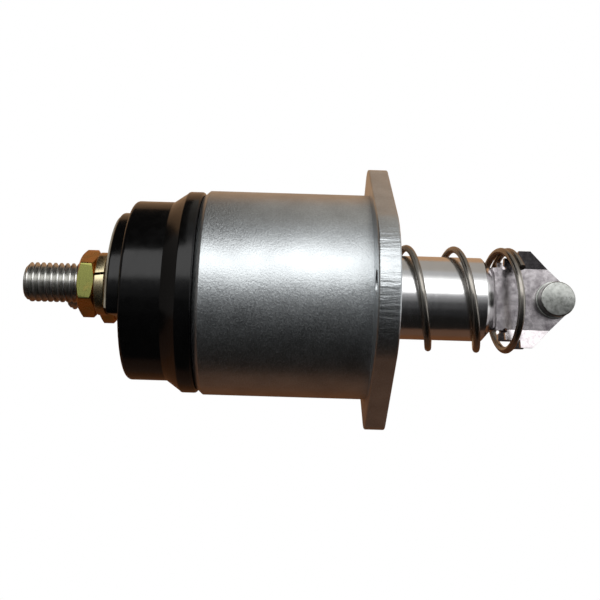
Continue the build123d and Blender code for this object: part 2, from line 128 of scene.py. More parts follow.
def turnProfile(name, profile, segments=facets["bore"], y=0, z=0, ring=False):
    # a circle is extruded and scaled from point to point of an (x, radius) profile, as on a lathe
    clearSelection()
    x, radius = profile[0]
    bpy.ops.mesh.primitive_circle_add(
        vertices=segments, radius=radius * mm, fill_type="NOTHING" if ring else "NGON",
        location=(x * mm, y * mm, z * mm), rotation=(0, math.pi / 2, 0))
    piece = settle(bpy.context.object, name)
    bpy.ops.object.mode_set(mode="EDIT")
    bpy.ops.mesh.select_all(action="SELECT")
    for nextX, nextRadius in profile[1:] + ([profile[0]] if ring else []):
        bpy.ops.mesh.extrude_region_move(
            TRANSFORM_OT_translate={"value": ((nextX - x) * mm, 0, 0)})
        ratio = nextRadius / radius
        if abs(ratio - 1) > 1e-6:
            bpy.ops.transform.resize(
                value=(1, ratio, ratio), center_override=(nextX * mm, y * mm, z * mm))
        x, radius = nextX, nextRadius
    bpy.ops.object.mode_set(mode="OBJECT")
    cleanMesh(piece)
    return piece


def turnOnPin(name, profile, pinX, ring=False):
    # the same lathe, set about the clevis pin's axis along Y
    piece = turnProfile(name, profile, facets["stud"], ring=ring)
    piece.rotation_euler = Euler((0, 0, math.pi / 2))
    piece.location = (pinX * mm, 0, 0)
    return settle(piece)


def cutAway(piece, place, normal, keepAbove):
    # bisects the mesh by a plane and closes the cut
    pick(piece)
    bpy.ops.object.mode_set(mode="EDIT")
    bpy.ops.mesh.select_all(action="SELECT")
    bpy.ops.mesh.bisect(plane_co=place, plane_no=normal, use_fill=True,
                        clear_inner=keepAbove, clear_outer=not keepAbove)
    bpy.ops.object.mode_set(mode="OBJECT")
    cleanMesh(piece)


def copyFromCad(node, name):
    # a CAD node's own mesh, merged, for a piece that needs more than a finish
    clearSelection()
    source = cadNodes[node]
    piece = source.copy()
    piece.data = source.data.copy()
    for key in list(piece.keys()):
        del piece[key]
    piece.name = name
    piece.parent = None
    bpy.context.scene.collection.objects.link(piece)
    piece.data.materials.clear()
    pick(piece)
    bpy.ops.object.mode_set(mode="EDIT")
    bpy.ops.mesh.select_all(action="SELECT")
    bpy.ops.mesh.customdata_custom_splitnormals_clear()
    bpy.ops.mesh.remove_doubles(threshold=mergeWithin * mm)
    bpy.ops.object.mode_set(mode="OBJECT")
    return piece


def present(piece, body, slot, *replaced):
    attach(piece, body)
    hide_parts(*replaced)
    return piece


# Case and flange: one zinc plated piece, its end rolled in over the cap

case = {
    "radius": 34.4, "bore": 31.2, "seatBore": 31.9, "seatX": -52.9, "endX": -62.5,
    "lipInner": 29.8, "lipThick": 2.0, "lipLong": 2.0, "lipDeep": 1.7, "lipBend": 0.5,
    "shoulderSetBack": 0.4, "shoulderSweep": 0.9, "noseSetIn": 0.6,  # shares of the bend
    "flangeThick": 6.8, "earRadius": 26.0, "earCentre": 23.9, "crownRadius": 10.0,
    "crownCentre": 34.1, "boltOffset": 42.4, "boltHole": 4.3, "guideBore": 15.02,
    "springSeat": 18.6, "springSeatDeep": 1.0, "rimRound": 0.5, "straightWithin": 0.1,
}


def makeFlangePlate(sizes):
    # discs for the ears and crowns, wrapped in one convex outline and drawn out to the plate's thickness
    clearSelection()
    discs = []
    ear, crown = sizes["earCentre"], sizes["crownCentre"]
    for y, z, radius in ((-ear, 0, sizes["earRadius"]), (ear, 0, sizes["earRadius"]),
                         (0, -crown, sizes["crownRadius"]), (0, crown, sizes["crownRadius"])):
        bpy.ops.mesh.primitive_circle_add(
            vertices=facets["plate"], radius=radius * mm, fill_type="NGON",
            rotation=(0, math.pi / 2, 0),
            location=(-sizes["flangeThick"] * mm, y * mm, z * mm))
        discs.append(bpy.context.object)
    for disc in discs:
        disc.select_set(True)
    bpy.ops.object.join()
    plate = settle(bpy.context.object, "caseShell")
    bpy.ops.object.mode_set(mode="EDIT")
    bpy.ops.mesh.select_all(action="SELECT")
    bpy.ops.mesh.convex_hull()
    bpy.ops.mesh.select_all(action="SELECT")
    bpy.ops.mesh.dissolve_limited(angle_limit=math.radians(sizes["straightWithin"]))
    bpy.ops.mesh.select_all(action="SELECT")
    bpy.ops.mesh.extrude_region_move(
        TRANSFORM_OT_translate={"value": (sizes["flangeThick"] * mm, 0, 0)})
    bpy.ops.object.mode_set(mode="OBJECT")
    cleanMesh(plate)
    roundEdges(plate, sizes["rimRound"], segments=4)
    return plate


def makeCaseShell(sizes):
    plate = makeFlangePlate(sizes)
    overlapX = -sizes["flangeThick"] / 2
    bend = sizes["lipBend"]
    slope = math.degrees(math.atan2(sizes["lipLong"], sizes["lipDeep"]))
    profile = [(overlapX, sizes["radius"])]
    profile += arcPoints(sizes["endX"] + sizes["lipLong"] + bend * sizes["shoulderSetBack"],
                         sizes["radius"] - bend, bend, 90, 90 + slope * sizes["shoulderSweep"])
    profile += arcPoints(sizes["endX"] + bend,
                         sizes["radius"] - sizes["lipDeep"] - bend * sizes["noseSetIn"],
                         bend, 90 + slope, 180)
    profile += [
        (sizes["endX"], sizes["lipInner"]), (sizes["endX"] + sizes["lipThick"], sizes["lipInner"]),
        (sizes["endX"] + sizes["lipThick"], sizes["seatBore"]), (sizes["seatX"], sizes["seatBore"]),
        (sizes["seatX"], sizes["bore"]), (overlapX, sizes["bore"]),
    ]
    combine(plate, turnProfile("tube", profile, facets["body"], ring=True), "UNION")
    through = [(-2 * sizes["flangeThick"], sizes["guideBore"]), (past, sizes["guideBore"])]
    combine(plate, turnProfile("guideBore", through), "DIFFERENCE")
    seat = [(-sizes["springSeatDeep"], sizes["springSeat"]), (past, sizes["springSeat"])]
    combine(plate, turnProfile("springSeat", seat), "DIFFERENCE")
    for side in (-1, 1):
        hole = [(-2 * sizes["flangeThick"], sizes["boltHole"]), (past, sizes["boltHole"])]
        tool = turnProfile("boltHole", hole, facets["hole"], y=side * sizes["boltOffset"])
        combine(plate, tool, "DIFFERENCE")
    cleanMesh(plate)
    smoothByAngle(plate)
    return present(plate, "housing", "zinc_case", "case_shell")


caseShell = makeCaseShell(case)
print("case made")


# Moulded cap: one hollow moulding with a raised boss under the terminals

cap = {
    "spigotX": -57.9, "spigotEndX": -60.4, "spigotRadius": 31.8, "grooveRadius": 29.6,
    "rimX": -62.6, "rimEndX": -68.1, "rimRadius": 33.9, "rimRound": 0.9, "rimSweepEnd": 150,
    "coneEndX": -72.7, "barrelRadius": 30.2, "barrelEndX": -85.9, "barrelRound": 1.5,
    "cavityX": -80.0, "cavityRadius": 26.2,
    "bossRadius": 26.0, "bossX": -90.3, "bossFlatZ": -10.0, "bossRound": 1.1,
    "studOffset": 16.25, "studHole": 6.5, "insertZ": -22.5, "insertHole": 3.2,
}


def makeTerminalCap(sizes):
    rimRound = sizes["rimRound"]
    inner = sizes["rimRadius"] - rimRound
    profile = [
        (sizes["cavityX"], sizes["cavityRadius"]), (sizes["spigotX"], sizes["cavityRadius"]),
        (sizes["spigotX"], sizes["spigotRadius"]), (sizes["spigotEndX"], sizes["spigotRadius"]),
        (sizes["spigotEndX"], sizes["grooveRadius"]), (sizes["rimX"], sizes["grooveRadius"]),
    ]
    profile += arcPoints(sizes["rimX"] - rimRound, inner, rimRound, 0, 90)
    profile += arcPoints(sizes["rimEndX"] + rimRound, inner, rimRound, 90, sizes["rimSweepEnd"])
    profile += [(sizes["coneEndX"], sizes["barrelRadius"])]
    profile += arcPoints(sizes["barrelEndX"] + sizes["barrelRound"],
                         sizes["barrelRadius"] - sizes["barrelRound"], sizes["barrelRound"],
                         90, 180, steps=8)
    moulding = turnProfile("terminalCap", profile, facets["body"])

    boss = turnProfile("boss", [(sizes["barrelEndX"] + past, sizes["bossRadius"]),
                                (sizes["bossX"], sizes["bossRadius"])], facets["plate"])
    cutAway(boss, (0, 0, sizes["bossFlatZ"] * mm), (0, 0, 1), True)
    roundEdges(boss, sizes["bossRound"], segments=4)
    combine(moulding, boss, "UNION")
    for side in (-1, 1):
        hole = [(sizes["bossX"] - past, sizes["studHole"]), (sizes["cavityX"] + past, sizes["studHole"])]
        tool = turnProfile("studHole", hole, facets["hole"], y=side * sizes["studOffset"])
        combine(moulding, tool, "DIFFERENCE")
    hole = [(sizes["barrelEndX"] - past, sizes["insertHole"]),
            (sizes["cavityX"] + past, sizes["insertHole"])]
    combine(moulding, turnProfile("insertHole", hole, facets["insert"], z=sizes["insertZ"]),
            "DIFFERENCE")
    smoothByAngle(moulding)
    return present(moulding, "housing", "black_cap", "terminal_cap")


terminalCap = makeTerminalCap(cap)
print("cap made")


# Terminals: two half-inch studs on a pale board, each with a nut and a split lock washer

insulator = {
    "radius": 24.8, "x": -91.0, "thick": 0.7, "flatZ": -8.2, "hole": 6.5, "drillReach": 3,
    "edgeRound": 0.15,
}
stud = {
    "offset": 16.25, "outer": 6.35, "root": 5.2, "pitch": 1.954, "crestShare": 0.2, "steps": 48,
    "spareTurns": 2, "windMerge": 0.001,
    "threadEndX": -92.5, "shankRadius": 5.72, "seatX": -80.0, "headX": -76.0,
    "headRadius": 7.2, "headFlat": 13.0, "tipChamfer": 1.2, "crestClear": 0.02, "runOut": 0.5,
    "shankTaper": 0.9, "shankOverlap": 0.8, "headOverlap": 2, "creaseAngle": 25,
}
studTips = {"battery": (-1, -117.7), "motor": (1, -111.7)}
nut = {
    "faceX": -99.7, "seatX": -94.3, "acrossFlats": 19.05, "bore": 6.42, "chamferAngle": 30,
    "countersink": 0.7, "edgeRound": 0.25, "faceInset": 0.35, "crownLong": 0.2, "sinkPast": 0.3,
    "turn": 30, "creaseAngle": 25,  # the turn brings a flat to the front
}
lockWasher = {
    "outer": 10.1, "inner": 6.5, "x": -94.3, "endX": -91.0, "split": 0.9, "slant": 8,
    "edgeRound": 0.55, "bladeLong": 12,
}
splitAngles = {"battery": 167, "motor": 60}  # round the stud, from the far side towards the top


def makeTerminalInsulator(sizes):
    disc = [(sizes["x"], sizes["radius"]), (sizes["x"] + sizes["thick"], sizes["radius"])]
    plate = turnProfile("terminalInsulator", disc, facets["plate"])
    cutAway(plate, (0, 0, sizes["flatZ"] * mm), (0, 0, 1), True)
    for side in (-1, 1):
        hole = [(sizes["x"] - past, sizes["hole"]), (sizes["x"] + sizes["drillReach"], sizes["hole"])]
        tool = turnProfile("hole", hole, facets["hole"], y=side * stud["offset"])
        combine(plate, tool, "DIFFERENCE")
    roundEdges(plate, sizes["edgeRound"])
    smoothByAngle(plate)
    return present(plate, "housing", "fibre_board", "terminal_insulator")


def makeThread(name, y, startX, endX, sizes):
    # three edges of a plane become one tooth, which the Screw modifier winds along X
    clearSelection()
    pitch = sizes["pitch"]
    bpy.ops.mesh.primitive_plane_add(size=1, location=((startX - pitch) * mm, y * mm, 0))
    thread = bpy.context.object
    thread.name = name
    bpy.ops.object.mode_set(mode="EDIT")
    mesh = bmesh.from_edit_mesh(thread.data)
    mesh.verts.ensure_lookup_table()
    bmesh.ops.delete(mesh, geom=list(mesh.faces), context="FACES_ONLY")
    # the plane's corners in order round it, and the edge that closes them taken out
    corners = sorted(mesh.verts, key=lambda v: (v.co.x, v.co.y if v.co.x < 0 else -v.co.y))
    closing = [e for e in mesh.edges if set(e.verts) == {corners[0], corners[3]}]
    bmesh.ops.delete(mesh, geom=closing, context="EDGES")
    crest = sizes["crestShare"] * pitch
    tooth = [(0, sizes["root"]), ((pitch - crest) / 2, sizes["outer"]),
             ((pitch + crest) / 2, sizes["outer"]), (pitch, sizes["root"])]
    for corner, (x, radius) in zip(corners, tooth):
        corner.co = (x * mm, 0, radius * mm)
    bmesh.update_edit_mesh(thread.data)
    bpy.ops.object.mode_set(mode="OBJECT")
    wind = thread.modifiers.new("wind", "SCREW")
    wind.axis = "X"
    wind.screw_offset = pitch * mm
    wind.iterations = math.ceil((endX - startX) / pitch) + sizes["spareTurns"]
    wind.steps = sizes["steps"]
    wind.render_steps = sizes["steps"]
    wind.use_merge_vertices = True
    wind.merge_threshold = sizes["windMerge"] * mm
    applyModifiers(thread)
    settle(thread)
    cleanMesh(thread)
    cutAway(thread, (startX * mm, 0, 0), (1, 0, 0), True)
    cutAway(thread, (endX * mm, 0, 0), (1, 0, 0), False)
    return thread


def makeStud(name, side, tipX, sizes, *replaced):
    y = side * sizes["offset"]
    thread = makeThread(name, y, tipX, sizes["threadEndX"], sizes)
    envelope = [
        (tipX - sizes["runOut"], sizes["outer"] - sizes["tipChamfer"] - sizes["runOut"]),
        (tipX + sizes["tipChamfer"], sizes["outer"] + sizes["crestClear"]),
        (sizes["threadEndX"] + sizes["runOut"], sizes["outer"] + sizes["crestClear"]),
    ]
    combine(thread, turnProfile("envelope", envelope, facets["stud"], y=y), "INTERSECT")
    shank = [
        (sizes["threadEndX"] - sizes["shankOverlap"], sizes["shankRadius"] - sizes["shankTaper"]),
        (sizes["headX"] - sizes["headOverlap"], sizes["shankRadius"]),
    ]
    combine(thread, turnProfile("shank", shank, facets["hole"], y=y), "UNION")
    head = turnProfile("head", [(sizes["seatX"], sizes["headRadius"]),
                                (sizes["headX"], sizes["headRadius"])], facets["hole"], y=y)
    cutAway(head, (0, 0, sizes["headFlat"] / 2 * mm), (0, 0, 1), False)
    cutAway(head, (0, 0, -sizes["headFlat"] / 2 * mm), (0, 0, 1), True)
    combine(thread, head, "UNION")
    smoothByAngle(thread, sizes["creaseAngle"])
    return present(thread, "housing", "bright_stud", *replaced)


def makeNut(name, side, sizes, *replaced):
    y = side * stud["offset"]
    half = sizes["acrossFlats"] / 2
    corner = half / math.cos(math.pi / 6)
    middleX = (sizes["faceX"] + sizes["seatX"]) / 2
    thick = sizes["seatX"] - sizes["faceX"]
    clearSelection()
    bpy.ops.mesh.primitive_cylinder_add(vertices=6, radius=corner * mm, depth=thick * mm)
    hexagon = bpy.context.object
    flatForward = (Matrix.Rotation(math.radians(sizes["turn"]), 4, "X")
                   @ Matrix.Rotation(math.pi / 2, 4, "Y"))
    hexagon.matrix_world = Matrix.Translation((middleX * mm, y * mm, 0)) @ flatForward
    settle(hexagon, name)
    roundEdges(hexagon, sizes["edgeRound"])
    crown = (corner - half) * math.tan(math.radians(sizes["chamferAngle"])) + sizes["crownLong"]
    rounding = [
        (sizes["faceX"], half - sizes["faceInset"]), (sizes["faceX"] + crown, corner),
        (sizes["seatX"] - crown, corner), (sizes["seatX"], half - sizes["faceInset"]),
    ]
    combine(hexagon, turnProfile("rounding", rounding, y=y), "INTERSECT")
    sink, sinkPast = sizes["countersink"], sizes["sinkPast"]
    bore = [
        (sizes["faceX"] - sinkPast, sizes["bore"] + sink + sinkPast),
        (sizes["faceX"] + sink, sizes["bore"]), (sizes["seatX"] + past, sizes["bore"]),
    ]
    combine(hexagon, turnProfile("bore", bore, facets["stud"], y=y), "DIFFERENCE")
    smoothByAngle(hexagon, sizes["creaseAngle"])
    return present(hexagon, "housing", "yellow_zinc", *replaced)


def makeLockWasher(name, side, splitAngle, sizes, *replaced):
    y = side * stud["offset"]
    edge = sizes["edgeRound"]
    profile = [(sizes["x"], sizes["inner"]), (sizes["x"], sizes["outer"] - edge)]
    profile += arcPoints(sizes["x"] + edge, sizes["outer"] - edge, edge, 180, 90)[1:]
    profile += arcPoints(sizes["endX"] - edge, sizes["outer"] - edge, edge, 90, 0)
    profile += [(sizes["endX"], sizes["inner"])]
    ring = turnProfile(name, profile, y=y, ring=True)
    clearSelection()
    bpy.ops.mesh.primitive_cube_add(size=1)
    blade = bpy.context.object
    blade.scale = (sizes["bladeLong"] * mm, 2 * sizes["outer"] * mm, sizes["split"] * mm)
    settle(blade)
    lean = Matrix.Rotation(math.radians(sizes["slant"]), 4, "Y")
    turn = Matrix.Rotation(math.radians(splitAngle), 4, "X")
    outward = Matrix.Translation((0, sizes["outer"] * mm, 0))
    middle = Matrix.Translation(((sizes["x"] + sizes["endX"]) / 2 * mm, y * mm, 0))
    blade.matrix_world = middle @ turn @ outward @ lean
    settle(blade)
    combine(ring, blade, "DIFFERENCE")
    smoothByAngle(ring)
    return present(ring, "housing", "yellow_zinc", *replaced)


terminalInsulator = makeTerminalInsulator(insulator)
studs, nuts, washers = [], [], []
for end, (side, tipX) in studTips.items():
    studs.append(makeStud(end + "Stud", side, tipX, stud, end + "_stud"))
    nuts.append(makeNut(end + "Nut", side, nut, end + "_nut"))
    washers.append(makeLockWasher(end + "LockWasher", side, splitAngles[end], lockWasher,
                                  end + "_lock_washer"))
print("terminals made")


# Plunger and return spring

plunger = {
    "tailX": -19.7, "tailChamfer": 1.0, "radius": 14.15, "endX": 34.9, "chamferLong": 2.7,
    "chamferDeep": 3.0, "tenonRadius": 2.4, "tenonX": 36.9, "headRadius": 3.1, "headHeight": 1.2,
    "edgeRound": 0.15, "edgeAngle": 12, "creaseAngle": 20,
}
spring = {
    "radius": 16.8, "wire": 1.15, "pitch": 16.3, "restX": 0.25, "crestX": 6.4,
    "firstTurn": -1.1, "lastTurn": 3.153, "pointsPerTurn": 24, "stroke": 14, "endX": 44.2,
    "pathSteps": 5, "sectionSteps": 6, "creaseAngle": 40,
}
resetSpring = {"seatX": -80.4, "stroke": 3.5, "creaseAngle": 40}


def makePlunger(sizes):
    radius = sizes["radius"]
    headX = sizes["tenonX"] + sizes["headHeight"]
    profile = [
        (sizes["tailX"], radius - sizes["tailChamfer"]), (sizes["tailX"] + sizes["tailChamfer"], radius),
        (sizes["endX"] - sizes["chamferLong"], radius), (sizes["endX"], radius - sizes["chamferDeep"]),
        (sizes["endX"], sizes["tenonRadius"]), (sizes["tenonX"], sizes["tenonRadius"]),
        (sizes["tenonX"], sizes["headRadius"]), (headX - sizes["headHeight"] / 2, sizes["headRadius"]),
        (headX, sizes["tenonRadius"]),
    ]
    bar = turnProfile("plungerBar", profile, facets["plate"])
    roundEdges(bar, sizes["edgeRound"], angle=sizes["edgeAngle"])
    smoothByAngle(bar, sizes["creaseAngle"])
    return present(bar, "plunger_set", "bright_plunger", "plunger")


def springStations(sizes):
    # turns counted from the first crest, each with its distance from the flange
    rest, crest, pitch = sizes["restX"], sizes["crestX"], sizes["pitch"]
    third = crest + 2 * pitch
    return [
        (sizes["firstTurn"], rest), (-0.75, rest), (-0.5, rest + 0.3), (-0.25, rest + 2.2), (0, crest),
        (0.25, crest + 0.25 * pitch), (1.75, third - 0.25 * pitch), (2.0, third), (2.25, third + 3.6),
        (2.5, third + 1.9), (2.75, third - 0.1), (3.0, third + 2.5), (sizes["lastTurn"], third + 4.6),
    ]


def springPlace(turn, stations):
    # a smooth cubic curve through the stations
    last = len(stations) - 1
    slopes = []
    for i in range(last + 1):
        low, high = stations[max(i - 1, 0)], stations[min(i + 1, last)]
        slopes.append((high[1] - low[1]) / (high[0] - low[0]))
    i = next((k for k in range(last) if turn <= stations[k + 1][0]), last - 1)
    (startTurn, startX), (endTurn, endX) = stations[i], stations[i + 1]
    span = endTurn - startTurn
    share = (turn - startTurn) / span
    square, cube = share**2, share**3
    return ((2 * cube - 3 * square + 1) * startX + (cube - 2 * square + share) * span * slopes[i]
            + (3 * square - 2 * cube) * endX + (cube - square) * span * slopes[i + 1])


def makeReturnSpring(sizes):
    # a smooth path with a round section, turned into a mesh
    stations = springStations(sizes)
    turns = sizes["lastTurn"] - sizes["firstTurn"]
    count = round(turns * sizes["pointsPerTurn"])
    step = 2 * math.pi * turns / count
    guide = sizes["radius"] * 3 / (2 + math.cos(step))  # a cubic path runs inside its points
    clearSelection()
    bpy.ops.curve.primitive_nurbs_path_add()
    wire = bpy.context.object
    wire.name = "returnSpring"
    line = wire.data
    line.splines.clear()
    path = line.splines.new("NURBS")
    path.points.add(count)
    for i, point in enumerate(path.points):
        turn = sizes["firstTurn"] + turns * i / count
        angle = 2 * math.pi * turn
        point.co = (springPlace(turn, stations) * mm, -guide * math.sin(angle) * mm,
                    guide * math.cos(angle) * mm, 1)
    path.order_u = 4
    path.use_endpoint_u = True
    line.dimensions = "3D"
    line.twist_mode = "MINIMUM"
    line.resolution_u = sizes["pathSteps"]
    line.bevel_depth = sizes["wire"] * mm
    line.bevel_resolution = sizes["sectionSteps"]
    line.use_fill_caps = True
    pick(wire)
    bpy.ops.object.convert(target="MESH")
    coil = bpy.context.object
    settle(coil, "returnSpring")
    cleanMesh(coil)
    smoothByAngle(coil, sizes["creaseAngle"])
    present(coil, "housing", "spring_wire", "return_spring")
    # the first turn stays in its seat, 1 mm inside the flange's face
    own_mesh(coil)
    return coil


def makeResetSpring(sizes):
    # the contact set's spring, which shortens towards its seat in the cap as the contacts move, kept as
    # its CAD node's own mesh
    coil = copyFromCad("contact_reset_spring", "resetSpring")
    smoothByAngle(coil, sizes["creaseAngle"])
    present(coil, "housing", "spring_wire", "contact_reset_spring")
    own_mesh(coil)
    return coil


plungerBar = makePlunger(plunger)
returnSpring = makeReturnSpring(spring)
contactResetSpring = makeResetSpring(resetSpring)
print("plunger and spring made")


# Clevis and its pin

clevis = {"edgeRound": 0.3, "cutEdge": 60, "foldEdge": 12, "flatWithin": 1}  # angles in degrees
pin = {
    "x": 55.9, "radius": 4.0, "headRadius": 5.75, "headFace": -11.8, "headSeat": -7.0, "headRound": 0.5,
    "grooveAt": 7.0, "grooveEnd": 7.9, "grooveRadius": 3.2, "end": 9.5, "endChamfer": 0.4,
    "washerNear": 6.1, "washerFar": 6.9, "washerOuter": 6.2, "washerBore": 4.07,
    "ringNear": 6.95, "ringFar": 7.75, "ringOuter": 6.3, "ringMouth": 5.4, "ringClear": 0.02,
    "mouthDeep": 4, "thinEdgeRound": 0.12,
}


def makeClevisBracket(sizes):
    # the CAD node's own sheet with its cut edges eased
    sheet = copyFromCad("clevis_bracket", "clevisBracket")
    bpy.ops.object.mode_set(mode="EDIT")
    bpy.ops.mesh.select_all(action="SELECT")
    bpy.ops.mesh.dissolve_limited(angle_limit=math.radians(sizes["flatWithin"]))
    bpy.ops.object.mode_set(mode="OBJECT")
    roundEdges(sheet, sizes["edgeRound"], angle=sizes["cutEdge"])
    smoothByAngle(sheet, sizes["foldEdge"])
    return present(sheet, "plunger_set", "clevis_zinc", "clevis_bracket")


def makeClevisPin(sizes):
    headRound = sizes["headRound"]
    faceRadius = sizes["headRadius"] - headRound
    profile = [(sizes["headFace"], faceRadius)]
    profile += arcPoints(sizes["headFace"] + headRound, faceRadius, headRound, 180, 90)[1:]
    profile += [
        (sizes["headSeat"], sizes["headRadius"]), (sizes["headSeat"], sizes["radius"]),
        (sizes["grooveAt"], sizes["radius"]), (sizes["grooveAt"], sizes["grooveRadius"]),
        (sizes["grooveEnd"], sizes["grooveRadius"]), (sizes["grooveEnd"], sizes["radius"]),
        (sizes["end"] - sizes["endChamfer"], sizes["radius"]),
        (sizes["end"], sizes["radius"] - sizes["endChamfer"]),
    ]
    bolt = turnOnPin("clevisPin", profile, sizes["x"])
    smoothByAngle(bolt)
    return present(bolt, "pin_set", "clevis_zinc", "clevis_pin")


def makePinWasher(name, side, sizes, *replaced):
    profile = [
        (side * sizes["washerNear"], sizes["washerBore"]),
        (side * sizes["washerFar"], sizes["washerBore"]),
        (side * sizes["washerFar"], sizes["washerOuter"]),
        (side * sizes["washerNear"], sizes["washerOuter"]),
    ]
    washer = turnOnPin(name, profile, sizes["x"], ring=True)
    roundEdges(washer, sizes["thinEdgeRound"])
    smoothByAngle(washer)
    return present(washer, "pin_set", "clevis_zinc", *replaced)


def makePinRing(sizes):
    # a flat ring with an open mouth, pushed into the pin's groove
    bore = sizes["grooveRadius"] + sizes["ringClear"]
    profile = [
        (sizes["ringNear"], bore), (sizes["ringFar"], bore), (sizes["ringFar"], sizes["ringOuter"]),
        (sizes["ringNear"], sizes["ringOuter"]),
    ]
    ring = turnOnPin("pinRing", profile, sizes["x"], ring=True)
    clearSelection()
    bpy.ops.mesh.primitive_cube_add(size=1, location=(sizes["x"] * mm, sizes["ringNear"] * mm,
                                                      -sizes["ringOuter"] * mm))
    mouth = bpy.context.object
    mouth.scale = (sizes["ringMouth"] * mm, sizes["mouthDeep"] * mm, 2 * sizes["ringOuter"] * mm)
    settle(mouth)
    combine(ring, mouth, "DIFFERENCE")
    roundEdges(ring, sizes["thinEdgeRound"])
    smoothByAngle(ring)
    return present(ring, "pin_set", "spring_wire", "pin_ring")


clevisBracket = makeClevisBracket(clevis)
clevisPin = makeClevisPin(pin)
headWasher = makePinWasher("headWasher", -1, pin, "head_washer")
ringWasher = makePinWasher("ringWasher", 1, pin, "ring_washer")
pinRing = makePinRing(pin)
print("clevis made")


# Materials. In the numbered sockets, Map Range takes 1 to 2 over to 3 to 4, and Mix goes from 6 to 7.

def linear(hexColour):
    channels = [int(hexColour[i:i + 2], 16) / 255 for i in (1, 3, 5)]
    return [c / 12.92 if c <= 0.04045 else ((c + 0.055) / 1.055) ** 2.4 for c in channels] + [1.0]


def addNode(tree, kind, inputs=None, **settings):
    node = tree.nodes.new(kind)
    for setting, value in settings.items():
        setattr(node, setting, value)
    for socket, value in (inputs or {}).items():
        if isinstance(value, bpy.types.NodeSocket):
            tree.links.new(value, node.inputs[socket])
        else:
            node.inputs[socket].default_value = value
    return node


def emptyTree(owner):
    owner.use_nodes = True
    owner.node_tree.nodes.clear()
    return owner.node_tree


def startMaterial(name, **shaderInputs):
    material = bpy.data.materials.new(name)
    tree = emptyTree(material)
    shader = addNode(tree, "ShaderNodeBsdfPrincipled",
                     {socket.replace("_", " "): value for socket, value in shaderInputs.items()})
    addNode(tree, "ShaderNodeOutputMaterial", {"Surface": shader.outputs[0]})
    place = addNode(tree, "ShaderNodeTexCoord").outputs["Object"]
    return material, tree, shader, place


def grainSize(millimetres):
    # texture scale for features of a real size, in object space metres
    return 1 / (millimetres * mm)


def dressShader(tree, shader, share, height, colours, roughness, strength, depth):
    # the share picks between two colours, and the height drives both roughness and bump
    first, second = (linear(colour) for colour in colours)
    tint = addNode(tree, "ShaderNodeMix", {0: share, 6: first, 7: second}, data_type="RGBA")
    tree.links.new(tint.outputs[2], shader.inputs["Base Color"])
    low, high = roughness
    dull = addNode(tree, "ShaderNodeMapRange", {0: height, 1: 0.3, 2: 0.7, 3: low, 4: high})
    tree.links.new(dull.outputs[0], shader.inputs["Roughness"])
    bump = addNode(tree, "ShaderNodeBump",
                   {"Height": height, "Strength": strength, "Distance": depth * mm})
    tree.links.new(bump.outputs[0], shader.inputs["Normal"])


def satinZinc(name, base, shade, roughness, grain, depth, patch=9.0, spread=0.06):
    # zinc plate over blasted steel: a fine bright grain with soft cloudy patches, and the grain
    # drawn coarser than the real tenth of a millimetre so that it shows
    material, tree, shader, place = startMaterial(name, Metallic=1.0)
    clouds = addNode(tree, "ShaderNodeTexNoise",
                     {"Vector": place, "Scale": grainSize(patch), "Detail": 4.0})
    fine = addNode(tree, "ShaderNodeTexNoise",
                   {"Vector": place, "Scale": grainSize(grain), "Detail": 2.0, "Roughness": 0.6})
    both = addNode(tree, "ShaderNodeMath", {0: clouds.outputs[0], 1: fine.outputs[0]}, operation="ADD")
    share = addNode(tree, "ShaderNodeMapRange", {0: both.outputs[0], 1: 0.7, 2: 1.3, 3: 0.0, 4: 1.0})
    dressShader(tree, shader, share.outputs[0], fine.outputs[0], (shade, base),
                (roughness - spread, roughness + spread), 0.5, depth)
    return material


def addShearMarks(material, marks):
    # short ridges across the plate's cut edge, where it was sheared from the sheet
    tree = material.node_tree
    shader = next(node for node in tree.nodes if node.type == "BSDF_PRINCIPLED")
    place = addNode(tree, "ShaderNodeTexCoord").outputs["Object"]
    parts = addNode(tree, "ShaderNodeSeparateXYZ", {0: place})
    onPlate = addNode(tree, "ShaderNodeMapRange",
                      {0: parts.outputs["X"], 1: marks["startX"] * mm, 2: marks["fullX"] * mm})
    height = addNode(tree, "ShaderNodeMath", {0: parts.outputs["Z"]}, operation="ABSOLUTE")
    nearEar = addNode(tree, "ShaderNodeMapRange",
                      {0: height.outputs[0], 1: marks["highZ"] * mm, 2: marks["lowZ"] * mm})
    normal = addNode(tree, "ShaderNodeTexCoord").outputs["Normal"]
    facing = addNode(tree, "ShaderNodeSeparateXYZ", {0: normal})
    along = addNode(tree, "ShaderNodeMath", {0: facing.outputs["X"]}, operation="ABSOLUTE")
    onEdge = addNode(tree, "ShaderNodeMapRange", {0: along.outputs[0], 1: 0.6, 2: 0.2})
    patch = addNode(tree, "ShaderNodeMath", {0: onPlate.outputs[0], 1: nearEar.outputs[0]},
                    operation="MULTIPLY")
    share = addNode(tree, "ShaderNodeMath", {0: patch.outputs[0], 1: onEdge.outputs[0]},
                    operation="MULTIPLY")
    squeezed = addNode(tree, "ShaderNodeMapping",
                       {"Vector": place, "Scale": (marks["stretch"], 1.0, 1.0)})
    ridges = addNode(tree, "ShaderNodeTexNoise",
                     {"Vector": squeezed.outputs[0], "Scale": grainSize(marks["ridge"]), "Detail": 3.0})
    masked = addNode(tree, "ShaderNodeMath", {0: ridges.outputs[0], 1: share.outputs[0]},
                     operation="MULTIPLY")
    bump = addNode(tree, "ShaderNodeBump",
                   {"Height": masked.outputs[0], "Strength": 0.7, "Distance": marks["depth"] * mm,
                    "Normal": shader.inputs["Normal"].links[0].from_socket})
    tree.links.new(bump.outputs[0], shader.inputs["Normal"])


